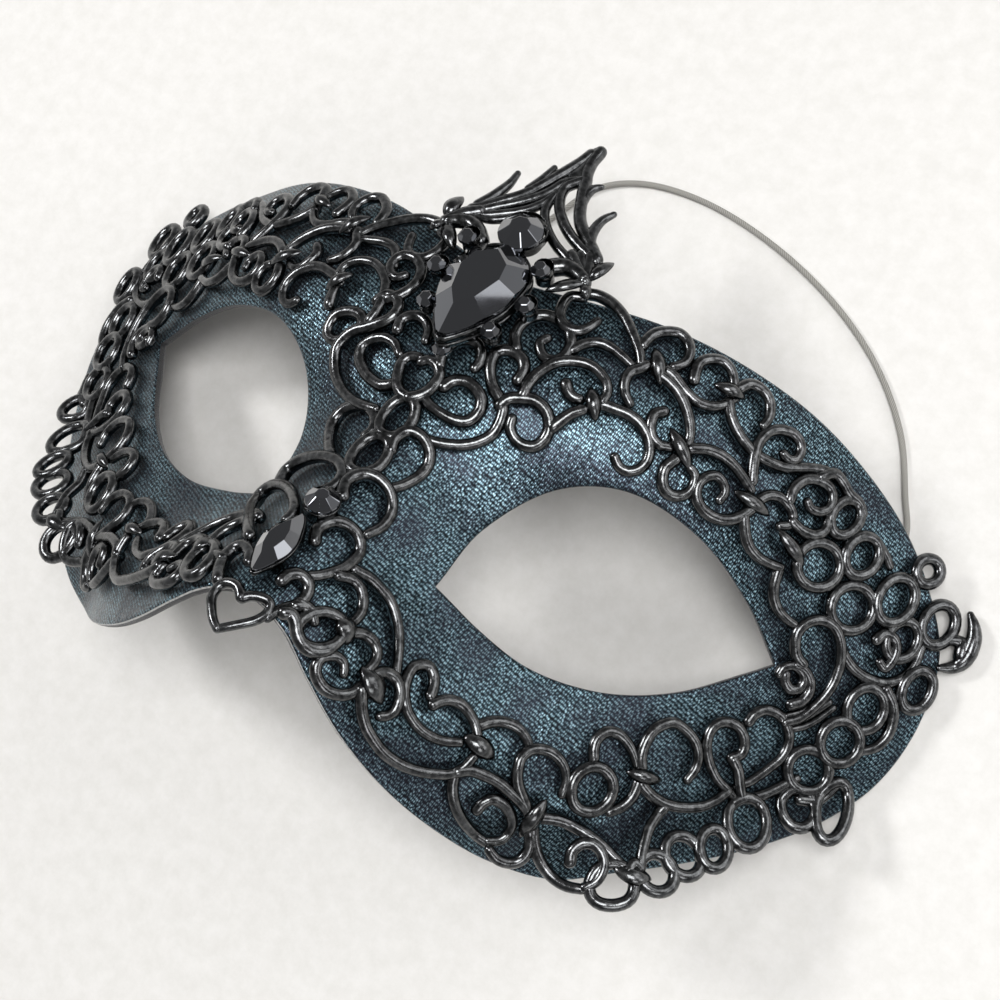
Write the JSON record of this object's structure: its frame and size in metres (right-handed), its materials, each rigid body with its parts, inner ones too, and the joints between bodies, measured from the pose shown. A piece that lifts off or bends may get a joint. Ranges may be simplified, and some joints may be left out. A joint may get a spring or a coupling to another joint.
{
  "type": "masquerade half mask",
  "caption": "Venetian style half mask: dark metallic cloth over a curved shell, black cast scroll filigree, a pointed crown, faceted black stones and a thin elastic.",
  "frame": {"origin": "on the table, under the middle of the mask without its elastic", "axes": "+X across the face towards the wearer's left temple, +Y up the face towards the crown, +Z out of the face and up from the table"},
  "size_m": [0.1976, 0.1317, 0.0729],
  "materials": {
    "shell_cloth": "dark blue-black cloth with metallic threads",
    "black_casting": "glossy black plated casting",
    "black_stone": "polished facets",
    "elastic": "matt covered elastic"
  },
  "bodies": {
    "root": {"mask_shell": "shell_cloth", "crown_filigree": "black_casting", "nose_filigree": "black_casting", "brow_filigree_left": "black_casting", "brow_filigree_right": "black_casting", "cheek_filigree_left": "black_casting", "cheek_filigree_right": "black_casting", "pear_stone": "black_stone", "crest_stone": "black_stone", "nose_stone": "black_stone", "marquise_stone": "black_stone", "small_stone_1": "black_stone", "small_stone_2": "black_stone", "small_stone_3": "black_stone", "small_stone_4": "black_stone", "small_stone_5": "black_stone", "small_stone_6": "black_stone", "small_stone_7": "black_stone", "elastic_cord": "elastic"}
  },
  "joints": []
}
